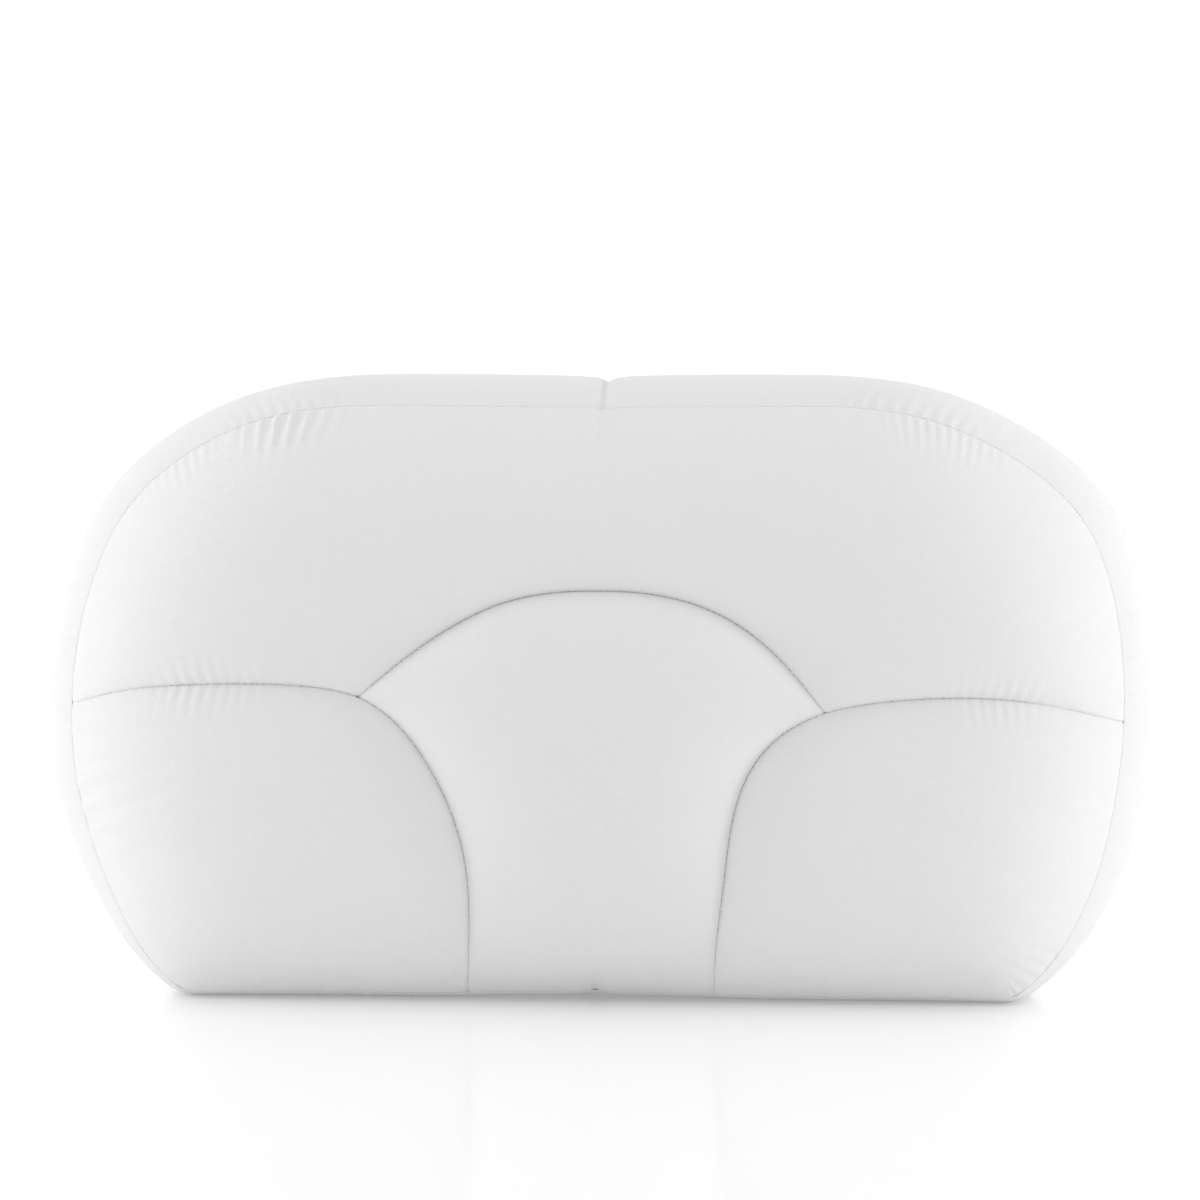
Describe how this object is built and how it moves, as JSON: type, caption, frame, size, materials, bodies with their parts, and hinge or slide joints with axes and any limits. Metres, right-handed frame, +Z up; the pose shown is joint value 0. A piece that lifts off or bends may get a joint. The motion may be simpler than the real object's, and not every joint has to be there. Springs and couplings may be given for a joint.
{
  "type": "contoured cervical traction pillow",
  "caption": "Contoured neck-support pillow of sewn panels round a bead filling, with a sunken centre under an arched seam, side lobes and a zip across the back; it stands on its long edge.",
  "frame": {"origin": "middle of the footprint of the long edge it stands on, at floor height", "axes": "+X along the length, towards the pillow's right seen from the face the head rests on; -Y out of that face; +Y out of the zipped back; +Z up, from the edge it stands on to the far edge"},
  "size_m": [0.53, 0.1454, 0.2973],
  "materials": {
    "cover_knit": "matte",
    "sewing_thread": "satin",
    "liner_knit": "matte",
    "baffle_fabric": "matte",
    "bead_filling": "matte",
    "zip_tape": "matte",
    "zip_coil": "satin",
    "zip_stop": "satin",
    "slider_metal": "gloss"
  },
  "bodies": {
    "pillow": {"baffle_arch": "baffle_fabric", "baffle_left_lobe": "baffle_fabric", "baffle_right_lobe": "baffle_fabric", "band_left": "cover_knit", "band_right": "cover_knit", "beads_centre": "bead_filling", "beads_left_lobe": "bead_filling", "beads_right_lobe": "bead_filling", "beads_upper": "bead_filling", "cover_back_lower_panel": "cover_knit", "cover_back_upper_panel": "cover_knit", "cover_centre_panel": "cover_knit", "cover_left_lobe_panel": "cover_knit", "cover_right_lobe_panel": "cover_knit", "cover_upper_panel": "cover_knit", "liner_back": "liner_knit", "liner_band": "liner_knit", "liner_front": "liner_knit", "stitching_arch": "sewing_thread", "stitching_back_cross": "sewing_thread", "stitching_back_perimeter": "sewing_thread", "stitching_band_bottom": "sewing_thread", "stitching_band_top": "sewing_thread", "stitching_front_perimeter": "sewing_thread", "stitching_left_lobe": "sewing_thread", "stitching_right_lobe": "sewing_thread", "zip_bottom_stop": "zip_stop", "zip_coil_lower": "zip_coil", "zip_coil_upper": "zip_coil", "zip_tape_lower": "zip_tape", "zip_tape_upper": "zip_tape", "zip_top_stop_lower": "zip_stop", "zip_top_stop_upper": "zip_stop", "zip_topstitch_lower": "sewing_thread", "zip_topstitch_upper": "sewing_thread"},
    "slider": {"zip_slider": "slider_metal"},
    "pull": {"zip_pull": "slider_metal"}
  },
  "joints": [
    {"name": "slider_slide", "type": "slide", "parent": "pillow", "child": "slider", "axis": [1, 0, 0], "range_m": [-0.286, 0]},
    {"name": "pull_hinge", "type": "hinge", "parent": "slider", "child": "pull", "pos_m": [0.143, 0.07076, 0.05982], "axis": [0, -0.0966, -0.9953], "range_deg": [0, 180]}
  ]
}
